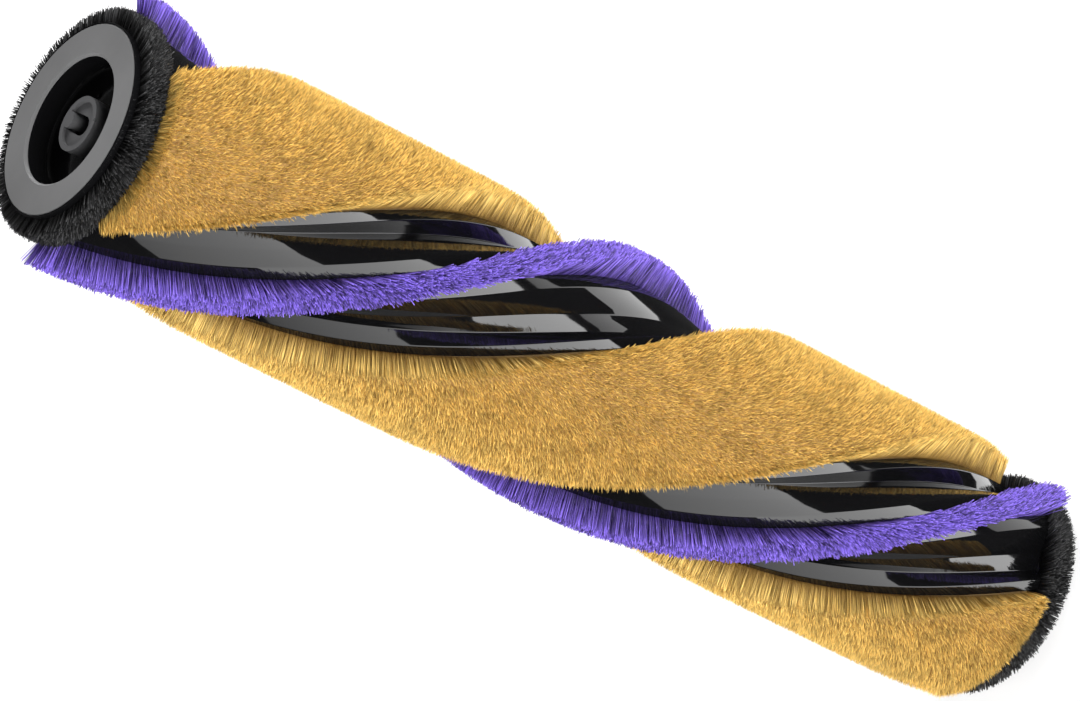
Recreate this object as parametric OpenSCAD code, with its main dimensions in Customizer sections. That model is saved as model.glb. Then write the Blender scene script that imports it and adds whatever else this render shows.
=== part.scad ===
// Roller brush for a vacuum cleaner head. The brush stands on its idler end, with its axis on +Z.
// Lengths are in millimetres and angles in degrees.
// Two wide gold piles and two narrow purple bristle strips wind round a fluted core as left-hand helices.
// Each end has a black cap with an inlaid grey ring and a collar of black bristle.

/* [Roller] */
// Overall length, from the outer face of one cap to the outer face of the other
roller_l = 225.5; // [120:0.5:320]
// Length in which a strip winds once round the roller
helix_lead = 236.2; // [150:0.1:720]
// Direction of the first purple strip at the drive end's outer face
strip_phase = -92.45; // [-180:0.05:180]
// Least wall of the core, under the flutes
core_wall = 2.3; // [1.4:0.1:4]
// Gap between parts that are pushed or slid together
slide_gap = 0.05; // [0.02:0.01:0.1]

/* [Flutes] */
// Height of the purple rails over the flute floor
rail_h = 4; // [3:0.1:5]
// How far the rail's shoulder lies under its mouth
shoulder_drop = 0.4; // [0:0.1:1]
// Angle from a purple strip's middle to the shoulder of its rail
shoulder_a = 12.4; // [10:0.1:16]
// Angle from a purple strip's middle to the foot of the rail's steep side
steep_foot_a = 21; // [18:0.1:25]
// Height of the foot of the rail's steep side
steep_foot_h = 1.8; // [0.8:0.1:2.6]
// Angle from a purple strip's middle to the foot of the rail's gentle side
gentle_foot_a = 26.6; // [20:0.1:30]
// Height of the foot of the rail's gentle side
gentle_foot_h = 0.9; // [0.2:0.1:2]
// Height of the lips beside the gold strips
lip_h = 2.4; // [2.1:0.1:3.4]
// Angle that the flat top of a lip covers
lip_a = 7; // [4:0.1:9]
// Angle that the slope below a lip covers
lip_slope_a = 6.5; // [3:0.1:8]

/* [Gold strips] */
// Angle that a gold pile covers at its base
gold_a = 83.7; // [60:0.1:95]
// Angle from a purple strip's middle to the middle of the gold strip after it
gold_offset_a = 85.8; // [80:0.1:95]
// Height of the gold strips' seat over the flute floor
gold_seat_h = 0.9; // [0.3:0.1:1.2]
// Thickness of the backing that carries the gold pile
gold_backing_t = 0.8; // [0.5:0.1:1]
// How far the backing reaches under the lips
gold_tuck = 1.5; // [0.6:0.1:2]
// Length of the gold fibres
gold_fibre_l = 7; // [4:0.1:10]
// Angle by which each side of the gold pile draws in at its tips
gold_taper_a = 1.6; // [0:0.1:4]
// Rounding of the gold pile's edges
gold_round = 1.2; // [0.4:0.1:2]

/* [Purple strips] */
// Width of the slot's mouth between the rails
mouth_w = 3.2; // [2:0.1:4.4]
// Width of the purple strip's foot
foot_w = 5.2; // [4.6:0.1:6.4]
// Thickness of the foot
foot_t = 1.3; // [0.8:0.1:1.6]
// Thickness of the rail over the foot
rail_t = 1.5; // [1:0.1:1.8]
// How far the carrier's stem stays below the rail's top
stem_drop = 0.5; // [0.2:0.1:0.9]
// How far the purple fibres stand over the rails
purple_fibre_h = 5.7; // [3:0.1:9]
// Width of the purple strip at its tips
purple_tip_w = 5.7; // [3.4:0.1:8]

/* [Strip ends] */
// Space from the drive end's bristle ring to the strips
drive_space = 0.2; // [0.1:0.1:3]
// Space from the idler end's bristle ring to the strips
idler_space = 1.8; // [0.1:0.1:4]

/* [End caps] */
// Diameter of the recess in each cap
recess_d = 24; // [20:0.5:30]
// Depth of the recess
recess_depth = 5.1; // [4.4:0.1:7]
// Fillet at the bottom of the recess
recess_fillet = 0.8; // [0.2:0.1:1.5]
// Wall of the plug that goes into the core, beside the recess
plug_wall = 1.35; // [1:0.05:3]
// Length of the plug inside the core
plug_l = 13; // [10:0.5:24]
// Lead-in chamfer of the plug
plug_chamfer = 0.6; // [0.2:0.1:1]
// How much wider the plug's inside is at its end than by the floor
plug_draft = 1; // [0.2:0.1:2]
// How far the neck stands over the plug
neck_step = 1.6; // [1:0.1:2]
// Thickness of the cap's flange
flange_t = 1.3; // [1:0.1:3]
// How far the flange stands over the bristle ring's channel
flange_lip = 2; // [1:0.1:3]
// Width of the black rim round the grey ring
rim_w = 0.25; // [0.2:0.05:1]
// Thickness of the grey ring
face_ring_t = 0.6; // [0.3:0.1:0.8]
// Chamfer on the edges of the grey ring
face_chamfer = 0.2; // [0.1:0.05:0.3]
// Width of the keys that lock a cap to the core
key_w = 4; // [2:0.5:6]
// Height of the keys
key_h = 1; // [0.5:0.1:1.2]
// Length of the keys
key_l = 5; // [2:0.5:8]

/* [Bristle rings] */
// Width of a bristle ring along the roller
ring_w = 3.9; // [3:0.1:8]
// Sheet thickness of the ring's channel
channel_t = 0.5; // [0.3:0.05:0.8]
// Height of the channel's sides
channel_h = 1.2; // [0.9:0.1:2]
// How far the black fibres stand over the channel
ring_fibre_h = 5.1; // [3:0.1:8]

/* [Drive hub] */
// Outer diameter of the hub
hub_d = 10.3; // [9:0.1:13]
// Wall of the hub's rim
hub_wall = 0.95; // [0.7:0.05:1.4]
// Depth of the hub's face below the cap's face
hub_sink = 1.95; // [1:0.05:3]
// Depth of the ledge below the hub's face
ledge_depth = 0.65; // [0.4:0.05:2]
// Width of the drive slot
slot_w = 3.6; // [2.4:0.1:4.4]
// Reach of the drive slot's round end from the axis
slot_reach = 2.6; // [2.3:0.1:3.2]
// Depth of the drive slot below the ledge
slot_depth = 5; // [2:0.1:6]
// Radius of the round key in the hub
nub_r = 1.5; // [1:0.1:1.7]
// Distance of the key's centre from the axis
nub_offset = 3.6; // [3:0.1:4]
// Thickness of the cap's floor round the hub
floor_t = 2; // [1.4:0.1:4]
// Height of the hub's collar under the floor
collar_h = 2.2; // [1.2:0.1:4]
// How far the collar stands out under the floor
collar_lip = 2.4; // [1:0.1:3]
// Diameter of the moulding mark on the floor
mark_d = 0.9; // [0.5:0.1:1.6]
// Distance of the moulding mark from the axis
mark_r = 6.8; // [6.4:0.1:9]
// Direction of the moulding mark
mark_a = 119; // [0:1:359]
// How far the moulding mark stands out of the floor
mark_h = 0.3; // [0.1:0.1:0.8]

/* [Bearing] */
// Bore of the ball bearing
bearing_bore = 6; // [5:0.5:6.5]
// Outside diameter of the bearing
bearing_od = 17; // [16.5:0.5:19]
// Width of the bearing
bearing_w = 6; // [5.6:0.1:8]
// Diameter of the bearing's balls
ball_d = 3; // [2:0.1:3.2]
// Number of balls
ball_n = 8; // [6:1:8]
// Space between the two bearing rings
ring_gap = 2.3; // [2:0.1:2.6]
// Gap between a ball and its races
race_gap = 0.03; // [0.01:0.01:0.06]
// Thickness of a bearing shield
shield_t = 0.35; // [0.2:0.05:0.5]
// How far a shield lies inside the bearing's face
shield_inset = 0.1; // [0.05:0.05:0.3]
// Thickness of the cage's ring behind the balls
cage_back = 0.6; // [0.4:0.1:0.9]
// Thickness of the lip that stops the bearing
stop_t = 1.2; // [0.8:0.1:2]
// How far the lip reaches over the bearing's outer ring
stop_lip = 1.2; // [0.6:0.1:1.5]
// Wall of the bearing's housing behind the circlip
circlip_wall = 1.4; // [0.8:0.1:3]
// Opening between the circlip's ends
circlip_opening = 4; // [2:0.5:8]

/* [Idler spindle] */
// Diameter of the spindle's outer stub
stub_d = 8; // [7:0.1:9]
// Distance of the stub's flat from the axis
stub_flat = 3.2; // [2.8:0.1:3.6]
// Chamfer at the spindle's ends
spindle_chamfer = 0.4; // [0.2:0.1:0.8]
// How far the stub's end stays inside the cap's face
stub_sink = 0.6; // [0.3:0.1:2]
// How far the spindle runs on past the bearing
tail_l = 3; // [2.4:0.1:6]
// Thickness of the retaining rings
clip_t = 0.8; // [0.5:0.1:1.2]
// How deep the retaining rings sit in their grooves
clip_seat = 0.5; // [0.3:0.05:0.7]
// How wide the retaining rings stand out of their grooves
clip_lip = 1.1; // [0.8:0.1:1.4]
// Opening between the ends of the spindle's clip
clip_opening = 3; // [1.5:0.5:4]

/* [Hidden] */

$fn = 96;
eps = 0.01; // lets a cut run clear of a face
starts = 2; // strips of each colour
start_a = 360 / starts;
slice_a = 11; // largest turn between two layers of a helix
arc_steps = 8; // straight runs along a gold strip's width
twist_rate = 360 / helix_lead; // turn of the strips for each millimetre of length

// Radii, from the recess outwards
recess_r = recess_d / 2;
plug_r = recess_r + plug_wall;
bore_r = plug_r + slide_gap;
flute_r = bore_r + core_wall;
rail_r = flute_r + rail_h;
lip_r = flute_r + lip_h;
gold_seat_r = flute_r + gold_seat_h;
gold_back_r = gold_seat_r + gold_backing_t + 2 * slide_gap;
gold_tip_r = gold_back_r + gold_fibre_l;
slot_top_r = rail_r - rail_t;
slot_floor_r = slot_top_r - foot_t - 2 * slide_gap;
stem_r = rail_r - stem_drop;
purple_tip_r = rail_r + purple_fibre_h;
neck_r = plug_r + neck_step;
channel_r = neck_r + slide_gap + channel_h;
flange_r = channel_r + flange_lip;
ring_tip_r = channel_r + ring_fibre_h;
face_ring_r = flange_r - rim_w;

// Heights along the roller
core_z0 = flange_t + ring_w;
core_l = roller_l - 2 * core_z0;
strip_z0 = core_z0 + idler_space;
strip_z1 = roller_l - core_z0 - drive_space;
stop_z = recess_depth + stop_t;
bearing_z = stop_z + bearing_w / 2;
circlip_z = stop_z + bearing_w + slide_gap;
boss_z = circlip_z + clip_t + circlip_wall;
spindle_end_z = stop_z + bearing_w + tail_l;

// Bearing radii
pitch_r = (bearing_bore + bearing_od) / 4;
race_in_r = pitch_r - ring_gap / 2;
race_out_r = pitch_r + ring_gap / 2;
shield_seat = 0.25; // step in the outer ring that holds a shield
moving_gap = 0.3; // space between parts that turn past each other

function polar(r, a) = [r * cos(a), r * sin(a)];
function across(r, t) = [r, t];
function gap_a(r) = slide_gap / r * 180 / PI;
function width_a(w, r) = w / r * 180 / PI;
function arc(r, a0, a1, n) = [for (i = [0:n]) polar(r, a0 + (a1 - a0) * i / n)];
function turned(points, a) = [for (p = points)
    [p[0] * cos(a) - p[1] * sin(a), p[0] * sin(a) + p[1] * cos(a)]];

gold_a0 = gold_offset_a - gold_a / 2;
gold_a1 = gold_offset_a + gold_a / 2;
tuck_a = width_a(gold_tuck, gold_back_r);

// One half of the core's outline: purple rails, flutes on both sides and the seat of one gold strip
function core_half() = concat(
    [
        polar(lip_r, gold_a1 - start_a),
        polar(lip_r, gold_a1 - start_a + lip_a),
        polar(flute_r, gold_a1 - start_a + lip_a + lip_slope_a),
        polar(flute_r + gentle_foot_h, -gentle_foot_a),
        polar(rail_r - shoulder_drop, -shoulder_a),
        across(rail_r, -mouth_w / 2),
        across(slot_top_r, -mouth_w / 2),
        across(slot_top_r, -foot_w / 2 - slide_gap),
        across(slot_floor_r, -foot_w / 2 - slide_gap),
        across(slot_floor_r, foot_w / 2 + slide_gap),
        across(slot_top_r, foot_w / 2 + slide_gap),
        across(slot_top_r, mouth_w / 2),
        across(rail_r, mouth_w / 2),
        polar(rail_r - shoulder_drop, shoulder_a),
        polar(flute_r + steep_foot_h, steep_foot_a),
        polar(flute_r, gold_a0 - lip_a - lip_slope_a),
        polar(lip_r, gold_a0 - lip_a),
        polar(lip_r, gold_a0),
        polar(gold_back_r, gold_a0),
        polar(gold_back_r, gold_a0 - tuck_a)
    ],
    arc(gold_seat_r, gold_a0 - tuck_a, gold_a1 + tuck_a, arc_steps),
    [
        polar(gold_back_r, gold_a1 + tuck_a),
        polar(gold_back_r, gold_a1)
    ]);

// Turns an outline along the core as a left-hand helix
module helix(outline) {
    turn = twist_rate * core_l;
    translate([0, 0, core_z0])
        linear_extrude(height = core_l, twist = turn, slices = ceil(turn / slice_a),
            segments = len(outline), convexity = 10)
            rotate(strip_phase + twist_rate * (roller_l - core_z0))
                polygon(outline);
}

// A helix cut to the strips' own length
module strip(outline) {
    intersection() {
        helix(outline);
        translate([0, 0, strip_z0])
            cylinder(r = purple_tip_r + gold_fibre_l, h = strip_z1 - strip_z0);
    }
}

module at_drive_end() {
    translate([0, 0, roller_l]) mirror([0, 0, 1]) children();
}

module tube(r1, r0, z0, z1) {
    translate([0, 0, z0]) difference() {
        cylinder(r = r1, h = z1 - z0);
        translate([0, 0, -eps]) cylinder(r = r0, h = z1 - z0 + 2 * eps);
    }
}

// Keys on a cap's plug, or their ways in the core when gap is more than none
module cap_keys(gap) {
    for (a = [0, 180]) rotate(a)
        translate([plug_r - key_h, -key_w / 2 - gap, core_z0 - eps])
            cube([2 * key_h + gap, key_w + 2 * gap, key_l + gap + eps]);
}

module core_tube() {
    color("#151517") difference() {
        helix(concat(core_half(), turned(core_half(), start_a)));
        translate([0, 0, core_z0 - 1]) cylinder(r = bore_r, h = core_l + 2);
        cap_keys(slide_gap);
        at_drive_end() cap_keys(slide_gap);
    }
}

// Backing strip that slides in under the two lips
module gold_backing(index) {
    r0 = gold_seat_r + slide_gap;
    r1 = gold_back_r - slide_gap;
    a0 = gold_a0 - tuck_a + gap_a(r0);
    a1 = gold_a1 + tuck_a - gap_a(r0);
    color("#8A6A3A") strip(turned(concat(
        arc(r0, a0, a1, arc_steps),
        [polar(r1, a1)],
        arc(r1, gold_a1 - gap_a(r1), gold_a0 + gap_a(r1), arc_steps),
        [polar(r1, a0)]), start_a * index));
}

// Pile of soft fibres, drawn in a little at the tips
module gold_pile(index) {
    r0 = gold_back_r - slide_gap;
    a0 = gold_a0 + gap_a(r0);
    a1 = gold_a1 - gap_a(r0);
    b0 = gold_a0 + gold_taper_a;
    b1 = gold_a1 - gold_taper_a;
    round_a = width_a(gold_round, gold_tip_r);
    color("#CC9545") strip(turned(concat(
        arc(r0, a0, a1, arc_steps),
        [polar(gold_tip_r - gold_round, b1)],
        arc(gold_tip_r, b1 - round_a, b0 + round_a, arc_steps),
        [polar(gold_tip_r - gold_round, b0)]), start_a * index));
}

// Foot and stem of a purple strip, in the slot between the rails
module purple_carrier(index) {
    r0 = slot_floor_r + slide_gap;
    r1 = slot_top_r - slide_gap;
    w = mouth_w / 2 - slide_gap;
    color("#26242E") strip(turned([
        across(r0, -foot_w / 2), across(r0, foot_w / 2),
        across(r1, foot_w / 2), across(r1, w),
        across(stem_r, w), across(stem_r, -w),
        across(r1, -w), across(r1, -foot_w / 2)], start_a * index));
}

// Stiff bristles that fan out from the stem
module purple_bristles(index) {
    w = mouth_w / 2 - slide_gap;
    color("#7B63DC") strip(turned([
        across(stem_r, -w), across(stem_r, w),
        across(rail_r + slide_gap, w), across(purple_tip_r, purple_tip_w / 2),
        across(purple_tip_r, -purple_tip_w / 2), across(rail_r + slide_gap, -w)], start_a * index));
}

// Quarter circle that runs from the recess wall into its floor
function recess_corner(depth) = [for (i = [0:6])
    [recess_r - recess_fillet + recess_fillet * cos(15 * i),
        depth - recess_fillet + recess_fillet * sin(15 * i)]];

// Cap with its outer face at z = 0, its flange, neck and plug, turned from one outline
module cap_body(floor_z, hole_r, pocket_r, pocket_z) {
    rotate_extrude() polygon(concat(
        [[recess_r, face_ring_t]],
        recess_corner(recess_depth),
        [
            [hole_r, recess_depth],
            [hole_r, floor_z],
            [pocket_r, floor_z],
            [pocket_r, pocket_z],
            [recess_r - plug_draft, pocket_z],
            [recess_r, core_z0 + plug_l],
            [plug_r - plug_chamfer, core_z0 + plug_l],
            [plug_r, core_z0 + plug_l - plug_chamfer],
            [plug_r, core_z0],
            [neck_r, core_z0],
            [neck_r, flange_t],
            [flange_r, flange_t],
            [flange_r, face_chamfer],
            [flange_r - face_chamfer, 0],
            [face_ring_r, 0],
            [face_ring_r, face_ring_t]
        ]));
    cap_keys(0);
}

// Thin grey ring let into the cap's face
module face_ring() {
    r0 = recess_r;
    r1 = face_ring_r - slide_gap;
    color("#6D6D6D") rotate_extrude() polygon([
        [r0, face_ring_t], [r0, 2 * face_chamfer], [r0 + 2 * face_chamfer, 0],
        [r1 - face_chamfer, 0], [r1, face_chamfer], [r1, face_ring_t]]);
}

// Folded channel that grips the fibres and is wound round the neck
module ring_channel() {
    r0 = neck_r + slide_gap;
    z0 = flange_t;
    z1 = core_z0 - slide_gap;
    color("#3A3B3E") rotate_extrude() polygon([
        [r0, z0], [channel_r, z0], [channel_r, z0 + channel_t], [r0 + channel_t, z0 + channel_t],
        [r0 + channel_t, z1 - channel_t], [channel_r, z1 - channel_t], [channel_r, z1], [r0, z1]]);
}

// Collar of black fibres, gripped in the channel
module bristle_ring() {
    r0 = neck_r + slide_gap + channel_t;
    z0 = flange_t;
    z1 = core_z0;
    color("#1C1C1E") rotate_extrude() polygon([
        [r0, z0 + channel_t], [channel_r, z0 + channel_t], [channel_r, z0], [ring_tip_r, z0],
        [ring_tip_r, z1], [channel_r, z1], [channel_r, z1 - channel_t - slide_gap],
        [r0, z1 - channel_t - slide_gap]]);
}

module drive_end_cap() {
    floor_z = recess_depth + floor_t;
    color("#0E0E10") at_drive_end() {
        cap_body(floor_z, hub_d / 2, hub_d / 2 + collar_lip, floor_z + collar_h);
        rotate(mark_a) translate([mark_r, 0, recess_depth - mark_h]) cylinder(d = mark_d, h = 2 * mark_h);
    }
}
module drive_face_ring() { at_drive_end() face_ring(); }
module drive_ring_channel() { at_drive_end() ring_channel(); }
module drive_bristle_ring() { at_drive_end() bristle_ring(); }

// Drive socket: a rim, a ledge, a slot with one round end and a round key that stands in it
module drive_hub() {
    floor_z = recess_depth + floor_t;
    inner_r = hub_d / 2 - hub_wall;
    ledge_z = hub_sink + ledge_depth;
    color("#6D6D6D") at_drive_end() {
        difference() {
            union() {
                translate([0, 0, hub_sink]) cylinder(d = hub_d, h = floor_z + collar_h - hub_sink);
                translate([0, 0, floor_z]) cylinder(r = hub_d / 2 + collar_lip, h = collar_h);
            }
            translate([0, 0, hub_sink - 1]) cylinder(r = inner_r, h = ledge_depth + 1);
            intersection() {
                translate([0, 0, ledge_z - 1]) cylinder(r = inner_r, h = slot_depth + 1);
                union() {
                    translate([-inner_r, -slot_w / 2, ledge_z - 1])
                        cube([inner_r + slot_reach - slot_w / 2, slot_w, slot_depth + 1]);
                    translate([slot_reach - slot_w / 2, 0, ledge_z - 1])
                        cylinder(d = slot_w, h = slot_depth + 1);
                }
            }
        }
        intersection() {
            translate([-nub_offset, 0, hub_sink]) cylinder(r = nub_r, h = ledge_depth + slot_depth);
            translate([0, 0, hub_sink]) cylinder(r = inner_r + hub_wall / 2, h = ledge_depth + slot_depth);
        }
    }
}

module idler_end_cap() {
    color("#0E0E10") difference() {
        cap_body(stop_z, bearing_od / 2 - stop_lip, bearing_od / 2, boss_z);
        translate([0, 0, circlip_z])
            cylinder(r = bearing_od / 2 + clip_seat, h = clip_t + slide_gap);
    }
}
module idler_face_ring() { face_ring(); }
module idler_ring_channel() { ring_channel(); }
module idler_bristle_ring() { bristle_ring(); }

// Ball track of both bearing rings
module race(gap) {
    translate([0, 0, bearing_z]) rotate_extrude() translate([pitch_r, 0]) circle(d = ball_d + 2 * gap);
}

module bearing_outer_ring() {
    shield_z = shield_t + shield_inset;
    color("#B8BABD") difference() {
        tube(bearing_od / 2, race_out_r, stop_z, stop_z + bearing_w);
        race(race_gap);
        translate([0, 0, stop_z - eps]) cylinder(r = race_out_r + shield_seat, h = shield_z + eps);
        translate([0, 0, stop_z + bearing_w - shield_z])
            cylinder(r = race_out_r + shield_seat, h = shield_z + eps);
    }
}

module bearing_inner_ring() {
    color("#B8BABD") difference() {
        tube(race_in_r, bearing_bore / 2, stop_z, stop_z + bearing_w);
        race(race_gap);
    }
}

module ball_set(d) {
    for (i = [0:ball_n - 1]) rotate(360 / ball_n * i)
        translate([pitch_r, 0, bearing_z]) sphere(d = d);
}

module bearing_balls() { color("#D5D7DA") ball_set(ball_d); }

// Crown cage: a ring on one side of the balls, with fingers between them
module bearing_cage() {
    color("#B59A5B") difference() {
        tube(race_out_r - moving_gap, race_in_r + moving_gap,
            bearing_z - ball_d / 5, bearing_z + ball_d / 2 + cage_back);
        ball_set(ball_d + 2 * race_gap);
    }
}

module bearing_shield(z) {
    color("#9EA1A5")
        tube(race_out_r + shield_seat, race_in_r + moving_gap, z, z + shield_t);
}
module bearing_shield_front() { bearing_shield(stop_z + shield_inset); }
module bearing_shield_back() { bearing_shield(stop_z + bearing_w - shield_t - shield_inset); }

// Open spring ring, cut through on one side
module retaining_ring(r0, r1, z, opening) {
    difference() {
        tube(r1, r0, z, z + clip_t);
        translate([0, -opening / 2, z - 1]) cube([r1 + 1, opening, clip_t + 2]);
    }
}

module bearing_circlip() {
    color("#4A4C50")
        retaining_ring(bearing_od / 2 - clip_lip, bearing_od / 2 + clip_seat - slide_gap, circlip_z,
            circlip_opening);
}

// Spindle that stays still in the vacuum head while the roller turns round it
module idler_spindle() {
    stub_r = stub_d / 2;
    shaft_r = bearing_bore / 2;
    groove_z = stop_z + bearing_w;
    chamfer = spindle_chamfer;
    color("#C4C6C9") difference() {
        rotate_extrude() polygon([
            [0, stub_sink], [stub_r - chamfer, stub_sink], [stub_r, stub_sink + chamfer],
            [stub_r, stop_z], [shaft_r, stop_z],
            [shaft_r, groove_z], [shaft_r - clip_seat, groove_z],
            [shaft_r - clip_seat, groove_z + clip_t + slide_gap], [shaft_r, groove_z + clip_t + slide_gap],
            [shaft_r, spindle_end_z - chamfer], [shaft_r - chamfer, spindle_end_z], [0, spindle_end_z]]);
        translate([stub_flat, -stub_r, stub_sink - 1])
            cube([stub_d, stub_d, stop_z - stub_sink + 1]);
    }
}

module spindle_clip() {
    color("#4A4C50")
        retaining_ring(bearing_bore / 2 - clip_seat, bearing_bore / 2 + clip_lip, stop_z + bearing_w,
            clip_opening);
}

core_tube();
gold_backing(0);  // gold_backing_1
gold_backing(1);  // gold_backing_2
gold_pile(0);  // gold_pile_1
gold_pile(1);  // gold_pile_2
purple_carrier(0);  // purple_carrier_1
purple_carrier(1);  // purple_carrier_2
purple_bristles(0);  // purple_bristles_1
purple_bristles(1);  // purple_bristles_2
drive_end_cap();
drive_face_ring();
drive_ring_channel();
drive_bristle_ring();
drive_hub();
idler_end_cap();
idler_face_ring();
idler_ring_channel();
idler_bristle_ring();
bearing_outer_ring();
bearing_inner_ring();
bearing_balls();
bearing_cage();
bearing_shield_front();
bearing_shield_back();
bearing_circlip();
idler_spindle();
spindle_clip();
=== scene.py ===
# Dresses the roller brush: fluted gloss core, gold piles, purple bristle rows and black bristle collars
import math
import bmesh
import bpy
import numpy as np
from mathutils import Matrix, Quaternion, Vector


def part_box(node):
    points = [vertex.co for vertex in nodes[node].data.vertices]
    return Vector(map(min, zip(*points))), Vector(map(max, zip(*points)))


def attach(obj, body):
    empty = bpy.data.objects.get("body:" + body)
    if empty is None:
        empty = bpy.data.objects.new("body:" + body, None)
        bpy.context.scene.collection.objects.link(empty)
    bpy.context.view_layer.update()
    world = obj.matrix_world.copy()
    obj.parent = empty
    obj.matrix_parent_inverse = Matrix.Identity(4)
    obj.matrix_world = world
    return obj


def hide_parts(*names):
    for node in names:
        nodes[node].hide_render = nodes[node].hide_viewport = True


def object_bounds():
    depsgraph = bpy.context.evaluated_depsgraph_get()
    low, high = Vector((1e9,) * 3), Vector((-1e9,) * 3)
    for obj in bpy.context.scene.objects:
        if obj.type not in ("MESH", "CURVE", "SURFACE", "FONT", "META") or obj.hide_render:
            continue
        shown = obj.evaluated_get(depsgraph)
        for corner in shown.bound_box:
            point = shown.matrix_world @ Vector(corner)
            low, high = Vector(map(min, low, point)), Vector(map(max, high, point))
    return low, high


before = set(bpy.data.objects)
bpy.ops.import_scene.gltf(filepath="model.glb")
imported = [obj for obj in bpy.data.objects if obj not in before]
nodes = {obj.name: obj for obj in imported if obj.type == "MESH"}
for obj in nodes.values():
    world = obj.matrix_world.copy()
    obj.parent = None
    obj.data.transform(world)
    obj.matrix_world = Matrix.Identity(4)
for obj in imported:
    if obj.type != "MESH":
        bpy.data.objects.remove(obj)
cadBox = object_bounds()
scene = bpy.context.scene
bpy.ops.object.select_all(action="DESELECT")
print("frame loaded:", len(nodes), "nodes")

mm = 0.001

# camera at the photograph's angle
view = {
    "target": (0.00145, 0.00117, 0.11885),
    "distance": 1.13534,
    "azimuth": -0.071,  # degrees from +X
    "elevation": 33.452,
    "roll": -63.089,
    "lens": 210.15,
    "sensor": 36,
}


def towards(azimuth, elevation):
    flat = math.cos(math.radians(elevation))
    return Vector((flat * math.cos(math.radians(azimuth)), flat * math.sin(math.radians(azimuth)),
                   math.sin(math.radians(elevation))))


def viewTurn():
    turn = Quaternion((0, 0, 1), math.radians(view["roll"]))
    return towards(view["azimuth"], view["elevation"]).to_track_quat("Z", "Y") @ turn


def addCamera():
    camera = bpy.data.objects.new("camera", bpy.data.cameras.new("camera"))
    scene.collection.objects.link(camera)
    back = towards(view["azimuth"], view["elevation"])
    camera.location = Vector(view["target"]) + back * view["distance"]
    camera.rotation_mode = "QUATERNION"
    camera.rotation_quaternion = viewTurn()
    camera.data.lens = view["lens"]
    camera.data.sensor_width = view["sensor"]
    camera.data.clip_start = 0.05
    scene.camera = camera


addCamera()
print("camera set")


# a socket that can stand in a Python sum, and a material that makes such sockets
class Value:
    def __init__(self, finish, socket):
        self.finish = finish
        self.socket = socket

    def sum(self, operation, a, b):
        return self.finish.node("Math", {"operation": operation}, {0: a, 1: b})

    def __add__(self, other):
        return self.sum("ADD", self, other)

    __radd__ = __add__

    def __sub__(self, other):
        return self.sum("SUBTRACT", self, other)

    def __rsub__(self, other):
        return self.sum("SUBTRACT", other, self)

    def __mul__(self, other):
        return self.sum("MULTIPLY", self, other)

    __rmul__ = __mul__

    def __pow__(self, other):
        return self.sum("POWER", self, other)


class Nodes:
    def __init__(self, owner):
        owner.use_nodes = True
        self.tree = owner.node_tree

    def feed(self, socket, value):
        if isinstance(value, Value):
            self.tree.links.new(value.socket, socket)
        else:
            socket.default_value = value

    def node(self, kind, settings=None, inputs=None, output=0):
        made = self.tree.nodes.new("ShaderNode" + kind)
        for key, value in (settings or {}).items():
            setattr(made, key, value)
        for key, value in (inputs or {}).items():
            self.feed(made.inputs[key], value)
        return Value(self, made.outputs[output])


class Finish(Nodes):
    def __init__(self, name, **fixed):
        self.material = bpy.data.materials.new(name)
        super().__init__(self.material)
        self.shader = self.tree.nodes["Principled BSDF"]
        for socket, value in fixed.items():
            self.feed(self.shader.inputs[socket.replace("_", " ")], value)

    def place(self):
        return self.node("TexCoord", output="Object")

    def noise(self, scale, detail=2, rough=0.5, vector=None):
        inputs = {"Scale": scale, "Detail": detail, "Roughness": rough, "Vector": vector or self.place()}
        return self.node("TexNoise", inputs=inputs)

    def blend(self, mask, low, high):
        return self.node("Mix", {"data_type": "RGBA"}, {0: mask, 6: low, 7: high}, 2)

    def spread(self, value, low, high):
        inputs = {"Value": value, "From Min": 0.3, "From Max": 0.7, "To Min": low, "To Max": high}
        return self.node("MapRange", inputs=inputs)

    def bump(self, height, depth, strength=1.0):
        inputs = {"Height": height, "Distance": depth, "Strength": strength}
        self.set("Normal", self.node("Bump", inputs=inputs))

    def set(self, socket, value):
        self.feed(self.shader.inputs[socket], value)


def plastic(name, colour, rough, level, grain, grainDepth, coat=0.0):
    made = Finish(name, IOR=1.5, Specular_IOR_Level=level, Coat_Weight=coat, Coat_Roughness=0.05)
    cloud = made.noise(38, 3)
    shade = made.spread(cloud, 0.0, 1.0)
    deep = tuple(c * 0.86 for c in colour) + (1,)
    pale = tuple(c * 1.14 for c in colour) + (1,)
    made.set("Base Color", made.blend(shade, deep, pale))
    made.set("Roughness", made.spread(made.noise(260, 2), rough * 0.85, rough * 1.15))
    made.bump(made.noise(grain, 2), grainDepth)
    return made.material


def metal(name, colour, rough, brushed):
    made = Finish(name, Metallic=1.0)
    stretch = made.node("Mapping", inputs={"Vector": made.place(), "Scale": (1, 1, brushed)})
    lines = made.noise(900, 3, 0.6, stretch)
    made.set("Base Color", made.blend(lines, tuple(c * 0.85 for c in colour) + (1,), tuple(colour) + (1,)))
    made.set("Roughness", made.spread(lines, rough * 0.8, rough * 1.3))
    made.bump(lines, 0.004 * mm)
    return made.material


# fibres darken from tip to root, which is painted shade down among the fibres, and each has a random tone of its
# own, read from its shade attribute
def fibreFinish(name, root, tip, dim, fade, rough, level, sheen, patchScale):
    made = Finish(name, IOR=1.5, Specular_IOR_Level=level, Roughness=rough, Sheen_Weight=sheen,
                  Sheen_Roughness=0.4)
    along = made.node("Attribute", {"attribute_name": "along"}, output="Fac")
    shade = made.node("Attribute", {"attribute_name": "shade"}, output="Fac")
    patch = made.spread(made.noise(patchScale, 2), -0.12, 0.12)
    own = made.blend(shade + patch, tuple(c * dim for c in tip) + (1,), tuple(tip) + (1,))
    # painted shade: the dark root colour is blended in towards each fibre's root
    made.set("Base Color", made.blend(along ** fade, tuple(root) + (1,), own))
    return made.material


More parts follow.
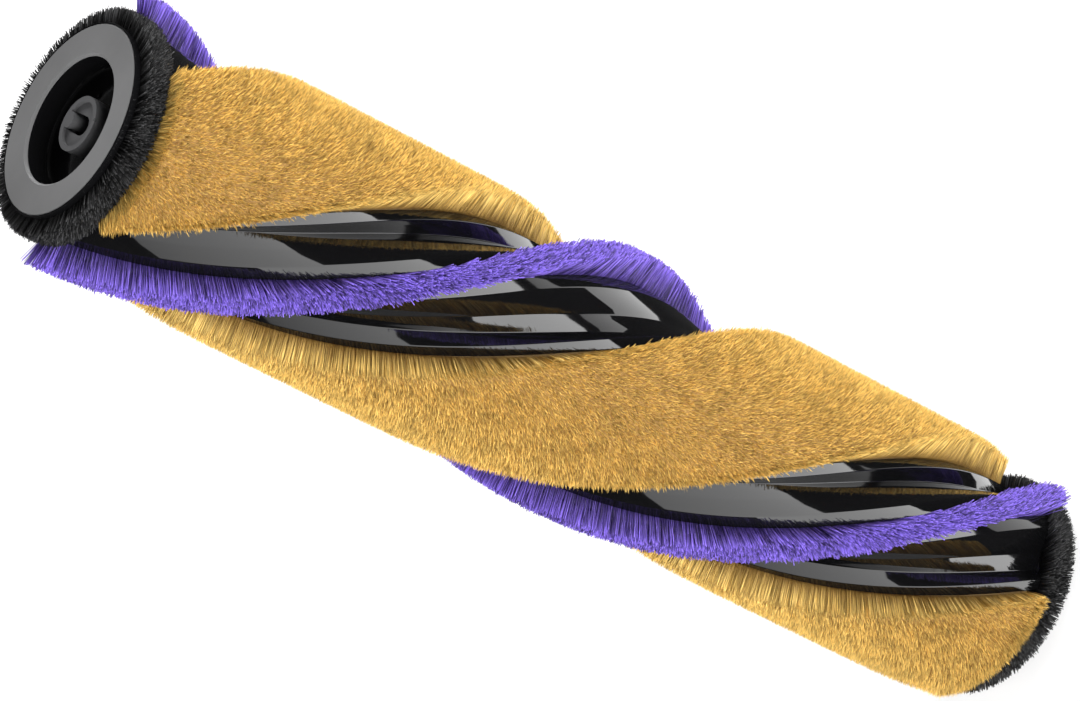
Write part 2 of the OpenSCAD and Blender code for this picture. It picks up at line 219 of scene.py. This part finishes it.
# shared sizes of the roller, as in the solid model
roller = {
    "lead": 236.2 * mm,
    "phase": -92.45,  # direction of the first purple strip at the drive end's face
    "length": cadBox[1].z - cadBox[0].z,
    "starts": 2,
}


def windAngle(z):
    return math.radians(roller["phase"]) + 2 * math.pi * (roller["length"] - z) / roller["lead"]


def polar(radius, angle):
    return (radius * math.cos(math.radians(angle)), radius * math.sin(math.radians(angle)))


def arc(radius, start, end, parts):
    return [polar(radius, start + (end - start) * i / parts) for i in range(parts + 1)]


def turned(outline, angle):
    c, s = math.cos(math.radians(angle)), math.sin(math.radians(angle))
    return [(x * c - y * s, x * s + y * c) for x, y in outline]


def editing(piece):
    bpy.ops.object.select_all(action="DESELECT")
    piece.select_set(True)
    bpy.context.view_layer.objects.active = piece
    bpy.ops.object.mode_set(mode="EDIT")
    bpy.ops.mesh.select_mode(type="VERT")


def pick(piece, test):
    bpy.ops.mesh.select_all(action="DESELECT")
    mesh = bmesh.from_edit_mesh(piece.data)
    for vertex in mesh.verts:
        vertex.select_set(test(vertex.co))
    mesh.select_flush(True)
    bmesh.update_edit_mesh(piece.data)


def doneEditing():
    bpy.ops.object.mode_set(mode="OBJECT")


def applyAll(piece):
    bpy.ops.object.select_all(action="DESELECT")
    piece.select_set(True)
    bpy.context.view_layer.objects.active = piece
    for modifier in list(piece.modifiers):
        bpy.ops.object.modifier_apply(modifier=modifier.name)


# a closed loop of vertices, put on an outline and wound up the roller
def loopOn(outline, z):
    bpy.ops.mesh.primitive_circle_add(vertices=len(outline), radius=0.01, location=(0, 0, 0))
    loop = bpy.context.object
    start = windAngle(z)
    c, s = math.cos(start), math.sin(start)
    for vertex, (x, y) in zip(loop.data.vertices, outline):
        vertex.co = (x * c - y * s, x * s + y * c, z)
    return loop


def wound(name, outlines, z0, z1, steps):
    loops = [loopOn(outline, z0) for outline in outlines]
    bpy.ops.object.select_all(action="DESELECT")
    for loop in loops:
        loop.select_set(True)
    bpy.context.view_layer.objects.active = loops[0]
    if len(loops) > 1:
        bpy.ops.object.join()
    piece = bpy.context.object
    piece.name = piece.data.name = name
    screw = piece.modifiers.new("wind", "SCREW")
    screw.angle = windAngle(z1) - windAngle(z0)
    screw.screw_offset = z1 - z0
    screw.steps = screw.render_steps = steps
    applyAll(piece)
    editing(piece)
    for end in (z0, z1):
        pick(piece, lambda co: abs(co.z - end) < 0.01 * mm)
        bpy.ops.mesh.fill()
    bpy.ops.mesh.select_all(action="SELECT")
    bpy.ops.mesh.normals_make_consistent(inside=False)
    doneEditing()
    return piece


def dress(piece, material, body, slot, *replaced):
    piece.data.materials.clear()
    piece.data.materials.append(material)
    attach(piece, body)
    if replaced:
        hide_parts(*replaced)


# the core, with its edges eased
core = {
    "bore": 13.4 * mm,
    "flute": 15.7 * mm,
    "rail": 19.7 * mm,
    "shoulder": (19.3 * mm, 12.4),
    "steepFoot": (17.5 * mm, 21),
    "gentleFoot": (16.6 * mm, 26.6),
    "lip": 18.1 * mm,
    "lipAngle": 7,
    "slopeAngle": 6.5,
    "mouth": 3.2 * mm,
    "slot": 5.3 * mm,
    "slotTop": 18.2 * mm,
    "slotFloor": 16.8 * mm,
    "seat": 16.6 * mm,
    "seatTop": 17.5 * mm,
    "tuck": 4.9,  # degrees that the seat reaches under a lip
    "ease": 0.16 * mm,
    "bowFrom": 4,  # degrees of the section that a flat spans before it is rounded
    "steps": 200,
}
gold = {
    "middle": 85.8,  # degrees after a purple strip's middle
    "angle": 83.7,
    "taper": 1.6,
    "base": 17.5 * mm,
    "tip": 24.5 * mm,
    "round": 1.2 * mm,
    "bodyDrop": 1.3 * mm,  # how far the dense inside stays under the tips
    "bodyInset": 0.5 * mm,
    "topFibres": 69000,
    "topLength": 2.3 * mm,
    "edgeFibres": 9500,  # on each long side
    "endFibres": 2900,  # at each end
    "topRootShade": 0.15,  # how dark the top fibres start: painted shade at their roots, between the fibres
    "width": 0.092 * mm,
    "lean": 0.34 * mm,
    "clump": 0.05 * mm,
    "clumpSize": 0.8 * mm,
}


def eased(outline, edge):
    soft = []
    count = len(outline)
    for i, (x, y, ease) in enumerate(outline):
        here = Vector((x, y))
        if not ease:
            soft.append((x, y))
            continue
        before = Vector(outline[i - 1][:2]) - here
        after = Vector(outline[(i + 1) % count][:2]) - here
        reach = min(edge, before.length / 3, after.length / 3)
        start, end = here + before.normalized() * reach, here + after.normalized() * reach
        for t in (0, 0.5, 1):
            point = start * (1 - t) ** 2 + here * 2 * t * (1 - t) + end * t ** 2
            soft.append((point.x, point.y))
    return soft


# the flats of the section are rounded about the roller's axis
def rounded(outline):
    bowed = []
    for i, (x, y, soft) in enumerate(outline):
        bowed.append((x, y, soft))
        nextX, nextY, nextSoft = outline[(i + 1) % len(outline)]
        start, end = math.degrees(math.atan2(y, x)), math.degrees(math.atan2(nextY, nextX))
        sweep = (end - start + 180) % 360 - 180
        if soft and nextSoft and sweep > core["bowFrom"]:
            parts = max(2, round(sweep / 3))
            r0, r1 = math.hypot(x, y), math.hypot(nextX, nextY)
            for k in range(1, parts):
                bowed.append((*polar(r0 + (r1 - r0) * k / parts, start + sweep * k / parts), False))
    return bowed


def coreOutline():
    c = core
    goldStart = gold["middle"] - gold["angle"] / 2
    goldEnd = gold["middle"] + gold["angle"] / 2
    far = goldEnd - 360 / roller["starts"]
    slopeFoot = c["lipAngle"] + c["slopeAngle"]
    hard = lambda points: [(x, y, False) for x, y in points]
    ease = lambda points: [(x, y, True) for x, y in points]
    half = (
        ease([
            polar(c["lip"], far),
            polar(c["lip"], far + c["lipAngle"]),
            polar(c["flute"], far + slopeFoot),
            polar(c["gentleFoot"][0], -c["gentleFoot"][1]),
            polar(c["shoulder"][0], -c["shoulder"][1]),
            (c["rail"], -c["mouth"] / 2),
        ])
        + hard([
            (c["slotTop"], -c["mouth"] / 2),
            (c["slotTop"], -c["slot"] / 2),
            (c["slotFloor"], -c["slot"] / 2),
            (c["slotFloor"], c["slot"] / 2),
            (c["slotTop"], c["slot"] / 2),
            (c["slotTop"], c["mouth"] / 2),
        ])
        + ease([
            (c["rail"], c["mouth"] / 2),
            polar(c["shoulder"][0], c["shoulder"][1]),
            polar(c["steepFoot"][0], c["steepFoot"][1]),
            polar(c["flute"], goldStart - slopeFoot),
            polar(c["lip"], goldStart - c["lipAngle"]),
            polar(c["lip"], goldStart),
        ])
        + hard([polar(c["seatTop"], goldStart), polar(c["seatTop"], goldStart - c["tuck"])]
               + arc(c["seat"], goldStart - c["tuck"], goldEnd + c["tuck"], 12)
               + [polar(c["seatTop"], goldEnd + c["tuck"]), polar(c["seatTop"], goldEnd)])
    )
    return eased(rounded(half + [(-x, -y, soft) for x, y, soft in half]), c["ease"])


def buildCore(material):
    low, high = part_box("core_tube")
    bore = arc(core["bore"], 0, 360 - 7.5, 47)
    piece = wound("core", [coreOutline(), bore], low.z, high.z, core["steps"])
    bpy.ops.object.shade_smooth_by_angle(angle=math.radians(62))
    flat = piece.modifiers.new("flatFaces", "WEIGHTED_NORMAL")
    flat.keep_sharp = True
    applyAll(piece)
    dress(piece, material, "roller", "core_black", "core_tube")


coreBlack = Finish("coreGloss", IOR=1.5, Specular_IOR_Level=0.4)
coreBlack.set("Base Color", coreBlack.blend(coreBlack.noise(30, 3), (0.0015, 0.0015, 0.0017, 1), (0.003, 0.003, 0.0033, 1)))
coreBlack.set("Roughness", coreBlack.spread(coreBlack.noise(55, 3), 0.035, 0.075))
coreBlack.bump(coreBlack.noise(90, 2), 0.004 * mm)
buildCore(coreBlack.material)
print("core wound")


# one fibre of each kind, modelled once at unit height: a folded leaf for pile, and a blunt bristle
def modelLeaf():
    bpy.ops.mesh.primitive_plane_add(size=2)
    leaf = bpy.context.object
    for vertex, place in zip(leaf.data.vertices, ((0, 0, 0), (1, 0.45, 0.7), (-1, 0.45, 0.7), (0, 0, 1))):
        vertex.co = place
    editing(leaf)
    bpy.ops.mesh.select_all(action="SELECT")
    bpy.ops.mesh.quads_convert_to_tris(quad_method="FIXED")
    doneEditing()
    return template(leaf)


def modelBristle():
    bpy.ops.mesh.primitive_cone_add(vertices=3, radius1=0.8, radius2=1, depth=1, end_fill_type="NGON",
                                    location=(0, 0, 0.5))
    bristle = bpy.context.object
    bpy.ops.object.transform_apply(location=True)
    editing(bristle)
    pick(bristle, lambda co: co.z < 0.5)
    bpy.ops.mesh.delete(type="ONLY_FACE")
    doneEditing()
    return template(bristle)


def template(piece):
    mesh = piece.data
    mesh.calc_loop_triangles()
    points = np.array([vertex.co for vertex in mesh.vertices])
    faces = np.array([triangle.vertices for triangle in mesh.loop_triangles])
    bpy.data.objects.remove(piece)
    return points, faces


# copies of the fibre from roots to tips, bent on the way, as one mesh
def plant(name, fibre, roots, tips, bends, widths, shades, rootAlong, dice):
    points, faces = fibre
    count = len(roots)
    axis = tips - roots
    length = np.linalg.norm(axis, axis=1, keepdims=True)
    side = np.cross(axis / length, dice.normal(size=(count, 3)))
    side /= np.linalg.norm(side, axis=1, keepdims=True)
    other = np.cross(axis / length, side)
    up = points[:, 2]
    arcShare = (up * (1 - up) * 4)[None, :, None]
    spots = (roots[:, None] + axis[:, None] * up[None, :, None] + bends[:, None] * arcShare
             + (side[:, None] * points[None, :, 0, None] + other[:, None] * points[None, :, 1, None])
             * widths[:, None, None])
    mesh = bpy.data.meshes.new(name)
    mesh.vertices.add(count * len(points))
    mesh.vertices.foreach_set("co", spots.astype(np.float32).ravel())
    corners = (faces[None] + (np.arange(count) * len(points))[:, None, None]).reshape(-1)
    mesh.loops.add(len(corners))
    mesh.loops.foreach_set("vertex_index", corners.astype(np.int32))
    mesh.polygons.add(count * len(faces))
    mesh.polygons.foreach_set("loop_start", np.arange(0, len(corners), 3, dtype=np.int32))
    mesh.update(calc_edges=True)
    mark(mesh, "shade", np.repeat(shades, len(points)))
    mark(mesh, "along", (rootAlong[:, None] + (1 - rootAlong[:, None]) * up[None]).ravel())
    piece = bpy.data.objects.new(name, mesh)
    scene.collection.objects.link(piece)
    return piece


def mark(mesh, name, values):
    layer = mesh.attributes.new(name, "FLOAT", "POINT")
    layer.data.foreach_set("value", np.asarray(values, np.float32))


def merged(name, pieces):
    bpy.ops.object.select_all(action="DESELECT")
    for piece in pieces:
        piece.select_set(True)
    bpy.context.view_layer.objects.active = pieces[0]
    bpy.ops.object.join()
    pieces[0].name = pieces[0].data.name = name
    return pieces[0]


# even but irregular places in a unit square
def scatter(count, ratio, dice):
    rows = max(1, round(math.sqrt(count / ratio)))
    columns = max(1, round(count / rows))
    across, along = np.meshgrid(np.arange(rows), np.arange(columns), indexing="ij")
    across = (across + 0.5 + dice.uniform(-0.48, 0.48, across.shape)) / rows
    along = (along + (across * rows % 2) * 0.5 + dice.uniform(-0.48, 0.48, along.shape)) / (columns + 1)
    return across.ravel(), along.ravel()


# smooth noise from a lattice of random numbers
def drift(x, y, cell, dice):
    gx, gy = x / cell, y / cell
    ix, iy = np.floor(gx).astype(int), np.floor(gy).astype(int)
    ix -= ix.min()
    iy -= iy.min()
    grid = dice.normal(size=(ix.max() + 2, iy.max() + 2, 2))
    fx, fy = (gx - np.floor(gx))[:, None], (gy - np.floor(gy))[:, None]
    fx, fy = fx * fx * (3 - 2 * fx), fy * fy * (3 - 2 * fy)
    low = grid[ix, iy] * (1 - fx) + grid[ix + 1, iy] * fx
    high = grid[ix, iy + 1] * (1 - fx) + grid[ix + 1, iy + 1] * fx
    return low * (1 - fy) + high * fy


# a point at radius r, angle a (degrees, in the strip's own outline) and height z, moved sideways and along
def onRoller(r, a, z, sideways=0, rise=0):
    angle = np.radians(a) + windAngle(z)
    x, y = np.cos(angle), np.sin(angle)
    return np.stack([r * x - sideways * y, r * y + sideways * x, z + rise], -1)


# tips that would pass the roller's ends are laid back inside them
def withinRoller(tips):
    tips[:, 2] = np.clip(tips[:, 2], 0.1 * mm, roller["length"] - 0.1 * mm)


leaf = modelLeaf()
bristle = modelBristle()


def goldPile(index, low, high, material):
    g = gold
    dice = np.random.default_rng(40 + index)
    start = g["middle"] - g["angle"] / 2 + index * 180
    end = start + g["angle"]
    inset = math.degrees(g["bodyInset"] / g["base"])
    body = wound("goldBody", [arc(g["base"], start + inset, end - inset, 10)
                              + arc(g["tip"] - g["bodyDrop"], end - g["taper"] - inset * 1.6,
                                    start + g["taper"] + inset * 1.6, 16)],
                 low + 1.1 * mm, high - 1.1 * mm, 110)
    # painted shade: the dense inside takes a dim tone near the dark root colour, standing for the shade among the
    # fibres
    mark(body.data, "shade", np.full(len(body.data.vertices), 0.2))
    mark(body.data, "along", np.full(len(body.data.vertices), 0.15))
    groups = []
    width = math.radians(g["angle"] - 2 * g["taper"]) * g["tip"]

    # the top
    across, along = scatter(g["topFibres"], (high - low) / width, dice)
    a = start + g["taper"] + across * (g["angle"] - 2 * g["taper"])
    z = low + along * (high - low)
    edge = np.minimum(across, 1 - across) * width
    endGap = np.minimum(z - low, high - z)
    fall = g["round"] * (1 - np.sqrt(1 - (1 - np.clip(edge / g["round"], 0, 1)) ** 2))
    clumps = drift(across * width, z, g["clumpSize"], dice) * g["clump"]
    lean = dice.normal(size=(len(a), 2)) * g["lean"] + clumps
    splay = np.exp(-edge / (0.9 * mm)) * 0.5 * mm * np.sign(across - 0.5)
    endSplay = np.exp(-endGap / (0.9 * mm)) * 0.45 * mm * np.sign(z - (low + high) / 2)
    tipR = g["tip"] - fall * 0.7 + dice.normal(size=len(a)) * 0.16 * mm
    roots = onRoller(g["tip"] - fall * 0.7 - g["topLength"], a, z)
    tips = onRoller(tipR, a, z, lean[:, 0] + splay, lean[:, 1] + endSplay)
    groups.append((roots, tips, np.full(len(a), g["topRootShade"])))

    # the long sides, down to the backing
    for side in (0, 1):
        count = g["edgeFibres"]
        z = low + (np.arange(count) + dice.uniform(-0.5, 0.5, count)) / count * (high - low)
        depth = dice.uniform(0, 1, count) ** 1.3 * 0.9 * mm
        sign = -1 if side == 0 else 1
        limit = start if side == 0 else end
        rootA = limit - sign * np.degrees((depth + 0.05 * mm) / g["base"])
        tipA = limit - sign * (g["taper"] + np.degrees(depth / g["tip"]))
        roots = onRoller(g["base"] + 0.1 * mm, rootA, z)
        reach = g["tip"] - g["round"] * 0.55 * (1 - depth / mm) - dice.uniform(0, 0.5, count) * mm
        tips = onRoller(reach, tipA, z, dice.normal(size=count) * 0.14 * mm + sign * 0.1 * mm,
                        dice.normal(size=count) * 0.16 * mm)
        # painted shade: the side fibres start at the dark root colour at the backing
        groups.append((roots, tips, np.zeros(count)))

    # the two ends
    for side in (0, 1):
        count = g["endFibres"]
        across = (np.arange(count) + dice.uniform(-0.5, 0.5, count)) / count
        a = start + g["taper"] + across * (g["angle"] - 2 * g["taper"])
        sign = -1 if side == 0 else 1
        z = (low if side == 0 else high) - sign * dice.uniform(0.05, 0.9, count) * mm
        roots = onRoller(g["base"] + 0.1 * mm, a, z)
        tips = onRoller(g["tip"] + 0.2 * mm - dice.uniform(0, 1, count) ** 2 * 2.2 * mm, a, z,
                        dice.normal(size=count) * 0.3 * mm,
                        sign * dice.uniform(-0.1, 0.7, count) * mm)
        # painted shade: the end fibres start at the dark root colour too
        groups.append((roots, tips, np.zeros(count)))

    roots, tips, rootAlong = (np.concatenate(part) for part in zip(*groups))
    withinRoller(tips)
    count = len(roots)
    widths = g["width"] * dice.uniform(0.75, 1.25, count)
    fibres = plant("goldFibres", leaf, roots, tips, np.zeros((count, 3)), widths,
                   dice.uniform(0, 1, count) ** 0.7, rootAlong, dice)
    piece = merged(f"goldPile{index + 1}", [fibres, body])
    dress(piece, material, "roller", "gold_pile", f"gold_pile_{index + 1}")


# painted shade: the first colour, dark brown, is the roots' painted shade; the second is the pile's own colour
goldFibre = fibreFinish("goldFibre", (0.17, 0.072, 0.012), (1.0, 0.69, 0.20), 0.24, 0.6, 0.55, 0.35, 0.0, 240)
goldLow, goldHigh = (corner.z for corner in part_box("gold_pile_1"))
for index in range(roller["starts"]):
    goldPile(index, goldLow, goldHigh, goldFibre)
print("gold piles planted")


# purple bristle rows, which fan out from the slot between the rails
purple = {
    "stem": 19.2 * mm,
    "tip": 25.4 * mm,
    "baseWidth": 2.9 * mm,
    "tipWidth": 5.7 * mm,
    "fibres": 17000,
    "sideRoot": 0.4,  # how light the outermost bristles start at their roots; the inner ones start at the dark root colour, painted shade inside the row
    "width": 0.09 * mm,
    "lean": 0.24 * mm,
    "endSplay": 2.0 * mm,
    "bodyTip": 21.6 * mm,
}


def purpleRow(index, low, high, material):
    p = purple
    dice = np.random.default_rng(60 + index)
    middle = index * 180
    r0, r1 = p["stem"], p["bodyTip"]
    w0, w1 = p["baseWidth"] / 2 - 0.3 * mm, p["baseWidth"] / 2
    body = wound("purpleBody", [turned([(r0, -w0), (r0, w0), (r1, w1), (r1, -w1)], middle)],
                 low + 0.4 * mm, high - 0.4 * mm, 180)
    # painted shade: the dense inside of the row takes a dim tone near the dark root colour
    mark(body.data, "shade", np.full(len(body.data.vertices), 0.2))
    mark(body.data, "along", np.full(len(body.data.vertices), 0.1))
    across, along = scatter(p["fibres"], (high - low) / p["tipWidth"], dice)
    off = across * 2 - 1
    z = low + along * (high - low)
    count = len(z)
    endGap = np.minimum(z - low, high - z)
    endSplay = np.exp(-endGap / (1.6 * mm)) * p["endSplay"] * np.sign(z - (low + high) / 2)
    lean = dice.normal(size=(count, 2)) * p["lean"]
    clumps = drift(off * p["tipWidth"] / 2, z, 1.5 * mm, dice) * 0.16 * mm
    roots = onRoller(p["stem"], middle, z, off * p["baseWidth"] / 2)
    tipR = p["tip"] - 0.9 * mm * off ** 4 + dice.normal(size=count) * 0.22 * mm
    tips = onRoller(tipR, middle, z, off * p["tipWidth"] / 2 + lean[:, 0] + clumps[:, 0],
                    endSplay + lean[:, 1] + clumps[:, 1])
    withinRoller(tips)
    bends = onRoller(0, middle, z, -off * 0.22 * mm + dice.normal(size=count) * 0.12 * mm) - onRoller(0, middle, z)
    widths = p["width"] * dice.uniform(0.8, 1.2, count)
    # painted shade: bristles start at the dark root colour, less so at the row's outer sides
    fibres = plant("purpleFibres", bristle, roots, tips, bends, widths, dice.uniform(0, 1, count),
                   p["sideRoot"] * np.abs(off) ** 5, dice)
    piece = merged(f"purpleRow{index + 1}", [fibres, body])
    dress(piece, material, "roller", "purple_bristle", f"purple_bristles_{index + 1}")


# painted shade: the first colour is the roots' painted shade; the second is the bristles' own colour
purpleFibre = fibreFinish("purpleFibre", (0.008, 0.005, 0.035), (0.22, 0.14, 0.66), 0.10, 0.9, 0.45, 0.4, 0.0, 260)
purpleLow, purpleHigh = (corner.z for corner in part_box("purple_bristles_1"))
for index in range(roller["starts"]):
    purpleRow(index, purpleLow, purpleHigh, purpleFibre)
print("purple rows planted")


# black collars at both ends
collar = {
    "root": 16.0 * mm,
    "bodyTip": 19.3 * mm,
    "fibres": 11500,
    "width": 0.08 * mm,
    "lean": 0.16 * mm,
    "splay": 1.1 * mm,
}


def bristleCollar(node, name, seed, material):
    k = collar
    dice = np.random.default_rng(seed)
    low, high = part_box(node)
    z0, z1, tip = low.z, high.z, (high.x - low.x) / 2
    bpy.ops.mesh.primitive_cylinder_add(vertices=96, radius=k["bodyTip"], depth=z1 - z0 - 0.7 * mm,
                                        location=(0, 0, (z0 + z1) / 2))
    body = bpy.context.object
    bpy.ops.object.transform_apply(location=True)
    editing(body)
    bpy.ops.mesh.select_mode(type="FACE")
    shape = bmesh.from_edit_mesh(body.data)
    for face in shape.faces:
        face.select_set(abs(face.normal.z) > 0.9)
    bmesh.update_edit_mesh(body.data)
    bpy.ops.mesh.inset(thickness=k["bodyTip"] - k["root"])
    bpy.ops.mesh.bridge_edge_loops()
    doneEditing()
    # painted shade: the dense inside of the collar takes a dim tone near the dark root colour
    mark(body.data, "shade", np.full(len(body.data.vertices), 0.2))
    mark(body.data, "along", np.full(len(body.data.vertices), 0.2))
    around, up = scatter(k["fibres"], (z1 - z0) / (2 * math.pi * tip), dice)
    angle = around * 2 * math.pi
    z = z0 + 0.15 * mm + up * (z1 - z0 - 0.3 * mm)
    count = len(z)
    share = (z - (z0 + z1) / 2) / ((z1 - z0) / 2)
    rise = share * k["splay"] + dice.normal(size=count) * k["lean"] * 0.8
    side = dice.normal(size=count) * k["lean"]
    x, y = np.cos(angle), np.sin(angle)
    tipR = tip - 0.5 * mm * share ** 4 + dice.normal(size=count) * 0.25 * mm
    roots = np.stack([k["root"] * x, k["root"] * y, z], 1)
    tips = np.stack([tipR * x - side * y, tipR * y + side * x, z + rise], 1)
    withinRoller(tips)
    swing = dice.normal(size=count) * 0.1 * mm
    bends = np.stack([-swing * y, swing * x, dice.normal(size=count) * 0.08 * mm], 1)
    # painted shade: the collar's bristles start at the dark root colour
    fibres = plant("collarFibres", bristle, roots, tips, bends, k["width"] * dice.uniform(0.8, 1.2, count),
                   dice.uniform(0, 1, count) ** 2.5, np.zeros(count), dice)
    piece = merged(name, [fibres, body])
    dress(piece, material, "roller", "black_bristle", node)


# painted shade: the first colour is the roots' painted shade; the second is the bristles' own colour
blackFibre = fibreFinish("blackFibre", (0.001, 0.001, 0.0011), (0.060, 0.060, 0.061), 0.03, 1.4, 0.5, 0.28, 0.0, 200)
bristleCollar("drive_bristle_ring", "driveCollar", 80, blackFibre)
bristleCollar("idler_bristle_ring", "idlerCollar", 81, blackFibre)
print("collars planted")

# finishes of the parts that stay as modelled
finishes = {
    "gold_backing": plastic("wovenBacking", (0.30, 0.20, 0.09), 0.7, 0.3, 1500, 0.05 * mm),
    "purple_carrier": plastic("carrierPlastic", (0.020, 0.018, 0.028), 0.35, 0.4, 400, 0.01 * mm),
    "cap_black": plastic("capGloss", (0.003, 0.003, 0.0033), 0.10, 0.4, 120, 0.003 * mm),
    "ring_grey": plastic("ringSatin", (0.118, 0.118, 0.119), 0.42, 0.4, 900, 0.004 * mm),
    "hub_grey": plastic("hubSatin", (0.070, 0.070, 0.072), 0.32, 0.4, 700, 0.004 * mm),
    "channel_steel": metal("channelSteel", (0.20, 0.20, 0.21), 0.35, 0.1),
    "bearing_steel": metal("bearingSteel", (0.72, 0.72, 0.74), 0.18, 0.1),
    "cage_brass": metal("cageBrass", (0.78, 0.60, 0.30), 0.3, 0.3),
    "spring_steel": metal("springSteel", (0.20, 0.205, 0.22), 0.28, 0.2),
    "spindle_steel": metal("spindleSteel", (0.66, 0.66, 0.68), 0.22, 0.1),
}
nodeFinish = {
    "gold_backing": ["gold_backing_1", "gold_backing_2"],
    "purple_carrier": ["purple_carrier_1", "purple_carrier_2"],
    "cap_black": ["drive_end_cap", "idler_end_cap"],
    "ring_grey": ["drive_face_ring", "idler_face_ring"],
    "hub_grey": ["drive_hub"],
    "channel_steel": ["drive_ring_channel", "idler_ring_channel"],
    "bearing_steel": ["bearing_outer_ring", "bearing_inner_ring", "bearing_balls", "bearing_shield_front",
                      "bearing_shield_back"],
    "cage_brass": ["bearing_cage"],
    "spring_steel": ["bearing_circlip", "spindle_clip"],
    "spindle_steel": ["idler_spindle"],
}
for slot, names in nodeFinish.items():
    for name in names:
        nodes[name].data.materials.clear()
        nodes[name].data.materials.append(finishes[slot])
print("finishes set")

# floor and studio light
studio = {
    "floorRadius": 12.0,
    "floorColour": (0.90, 0.90, 0.90, 1),
    "cameraGlow": 0.72,  # share of plain white in what the camera sees of the floor
    "world": 0.06,
    "middle": Vector((0, 0, 0.11)),
    "lampDistance": 1.6,
    "cardDistance": 3.2,
    "lampSize": 0.8,
    # azimuth from +X and elevation in degrees, watts
    "lamps": {
        "nearLeft": (-20, 12, 25),
        "nearRight": (20, 12, 21),
        "right": (60, 12, 10),
        "farRight": (100, 12, 33),
        "backRight": (150, 20, 60),
        "backLeft": (-135, 20, 20),
        "left": (-65, 18, 20),
    },
    # mirrored by the gloss alone. across and rise are degrees in the camera's own frame
    "cards": {
        "wideCard": {"across": 51, "rise": -11, "size": (4.8, 4.4), "roll": 5, "glow": (8.6, 1.4)},
        "edgeCard": {"across": 109, "rise": 8, "size": (1.0, 2.2), "roll": 0, "glow": (5.5, 2.0)},
    },
}


def addFloor():
    bpy.ops.mesh.primitive_circle_add(vertices=64, radius=studio["floorRadius"], fill_type="NGON")
    floor = bpy.context.object
    floor.name = "floor"
    made = Finish("floorPale", Roughness=0.9, Specular_IOR_Level=0.0)
    made.set("Base Color", studio["floorColour"])
    path = made.node("LightPath")
    seen = path
    for other in ("Is Glossy Ray", "Is Transmission Ray"):
        seen = seen.sum("MAXIMUM", seen, Value(made, path.socket.node.outputs[other]))
    glow = made.node("Emission", inputs={"Color": (1, 1, 1, 1), "Strength": 1.0})
    mixed = made.node("MixShader", inputs={0: seen * studio["cameraGlow"], 2: glow})
    made.tree.links.new(made.shader.outputs[0], mixed.socket.node.inputs[1])
    made.tree.links.new(mixed.socket, made.tree.nodes["Material Output"].inputs["Surface"])
    floor.data.materials.append(made.material)
    floor.visible_glossy = False  # the gloss mirrors the soft boxes and the room, and not the floor


def addLamp(name, size, power, place, facing):
    data = bpy.data.lights.new(name, "AREA")
    data.shape = "RECTANGLE"
    data.size, data.size_y = size
    data.energy = power
    made = bpy.data.objects.new(name, data)
    scene.collection.objects.link(made)
    made.location = studio["middle"] + place
    made.rotation_mode = "QUATERNION"
    made.rotation_quaternion = facing
    made.visible_camera = False
    return made


# a card glows more at its lower edge than at its upper one
def addCard(name, card):
    back = Vector((math.sin(math.radians(card["across"])) * math.cos(math.radians(card["rise"])),
                   math.sin(math.radians(card["rise"])),
                   math.cos(math.radians(card["across"])) * math.cos(math.radians(card["rise"]))))
    facing = viewTurn() @ back.to_track_quat("Z", "Y") @ Quaternion((0, 0, 1), math.radians(card["roll"]))
    area = card["size"][0] * card["size"][1]
    lamp = addLamp(name, card["size"], math.pi * area, viewTurn() @ back * studio["cardDistance"], facing)
    lamp.visible_diffuse = False
    made = Nodes(lamp.data)
    spot = made.node("NewGeometry", output="Parametric")
    height = made.node("SeparateXYZ", inputs={"Vector": spot}, output="Y")
    low, high = card["glow"]
    made.feed(made.tree.nodes["Emission"].inputs["Strength"], height * (high - low) + low)


addFloor()
for name, (azimuth, elevation, power) in studio["lamps"].items():
    back = towards(azimuth, elevation)
    lamp = addLamp(name, (studio["lampSize"],) * 2, power, back * studio["lampDistance"],
                   back.to_track_quat("Z", "Y"))
    lamp.visible_glossy = False
for name, card in studio["cards"].items():
    addCard(name, card)
world = bpy.data.worlds.new("studioWorld")
world.use_nodes = True
world.node_tree.nodes["Background"].inputs["Color"].default_value = (1, 1, 1, 1)
world.node_tree.nodes["Background"].inputs["Strength"].default_value = studio["world"]
scene.world = world
scene.view_settings.view_transform = "Standard"
print("studio lit")
